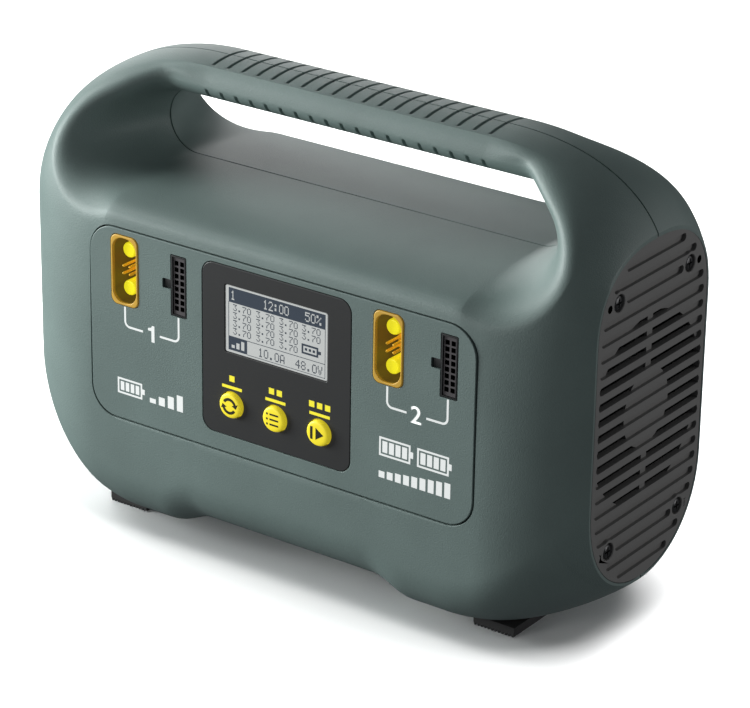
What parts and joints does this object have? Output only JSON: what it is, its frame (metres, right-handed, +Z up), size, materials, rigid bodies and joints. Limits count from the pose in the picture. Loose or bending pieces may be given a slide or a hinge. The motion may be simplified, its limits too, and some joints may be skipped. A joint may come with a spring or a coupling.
{
  "type": "balance battery charger",
  "caption": "Balance battery charger in a rounded case with a moulded-in carrying handle, a front panel of display, keys and battery sockets, and a fan grille at each end.",
  "frame": {"origin": "on the floor under the middle of the case", "axes": "+X along the case's length, to the right seen from the front; the front panel faces -Y; +Z up"},
  "size_m": [0.2958, 0.1299, 0.2124],
  "materials": {
    "case_green": "fine spark-eroded texture, satin",
    "charcoal": "satin",
    "grille_grey": "satin",
    "signal_yellow": "satin, printed icon",
    "socket_yellow": "satin",
    "gold": "gold plated",
    "black_nylon": "moulded",
    "black_steel": "black oxide",
    "board_green": "solder mask",
    "rubber": "moulded, ribbed sole",
    "clear_lens": "clear",
    "lcd_glass": "light grey reflective display",
    "aluminium": "extruded",
    "ferrite": "sintered",
    "winding_tape": "polyester tape",
    "capacitor_sleeve": "shrunk sleeve",
    "copper_winding": "enamelled wire"
  },
  "bodies": {
    "case": {"front_shell": "case_green", "rear_shell": "case_green", "front_panel": "case_green", "display_bezel": "charcoal", "vent_grille_left": "grille_grey", "vent_grille_right": "grille_grey", "power_socket_1": "socket_yellow", "power_socket_2": "socket_yellow", "power_pin_1_upper": "gold", "power_pin_1_lower": "gold", "power_pin_2_upper": "gold", "power_pin_2_lower": "gold", "signal_pins_1": "gold", "signal_pins_2": "gold", "ac_inlet_blades": "gold", "board_standoff_1": "gold", "board_standoff_2": "gold", "board_standoff_3": "gold", "board_standoff_4": "gold", "balance_socket_1": "black_nylon", "balance_socket_2": "black_nylon", "fan_frame_left": "black_nylon", "fan_frame_right": "black_nylon", "key_switch_channel": "black_nylon", "key_switch_mode": "black_nylon", "key_switch_start": "black_nylon", "ac_inlet": "black_nylon", "case_screw_1": "black_steel", "case_screw_2": "black_steel", "case_screw_3": "black_steel", "case_screw_4": "black_steel", "grille_screw_left_1": "black_steel", "grille_screw_left_2": "black_steel", "grille_screw_left_3": "black_steel", "grille_screw_left_4": "black_steel", "grille_screw_right_1": "black_steel", "grille_screw_right_2": "black_steel", "grille_screw_right_3": "black_steel", "grille_screw_right_4": "black_steel", "display_board": "board_green", "main_board": "board_green", "power_board": "board_green", "foot_left": "rubber", "foot_right": "rubber", "lcd_window": "clear_lens", "lcd_module": "lcd_glass", "heatsink_1": "aluminium", "heatsink_2": "aluminium", "transformer_core": "ferrite", "transformer_coil": "winding_tape", "bulk_capacitor_1": "capacitor_sleeve", "bulk_capacitor_2": "capacitor_sleeve", "filter_choke": "copper_winding"},
    "channel_key": {"button_channel": "signal_yellow"},
    "mode_key": {"button_mode": "signal_yellow"},
    "start_key": {"button_start": "signal_yellow"},
    "left_rotor": {"fan_rotor_left": "black_nylon"},
    "right_rotor": {"fan_rotor_right": "black_nylon"}
  },
  "joints": [
    {"name": "press_channel", "type": "slide", "parent": "case", "child": "channel_key", "axis": [0, 1, 0], "range_m": [0, 0.0008], "stiffness_N_per_m": 2500},
    {"name": "press_mode", "type": "slide", "parent": "case", "child": "mode_key", "axis": [0, 1, 0], "range_m": [0, 0.0008], "stiffness_N_per_m": 2500},
    {"name": "press_start", "type": "slide", "parent": "case", "child": "start_key", "axis": [0, 1, 0], "range_m": [0, 0.0008], "stiffness_N_per_m": 2500},
    {"name": "spin_left", "type": "hinge", "parent": "case", "child": "left_rotor", "pos_m": [-0.1272, 0, 0.1028], "axis": [1, 0, 0], "continuous": true},
    {"name": "spin_right", "type": "hinge", "parent": "case", "child": "right_rotor", "pos_m": [0.1272, 0, 0.1028], "axis": [1, 0, 0], "continuous": true}
  ]
}
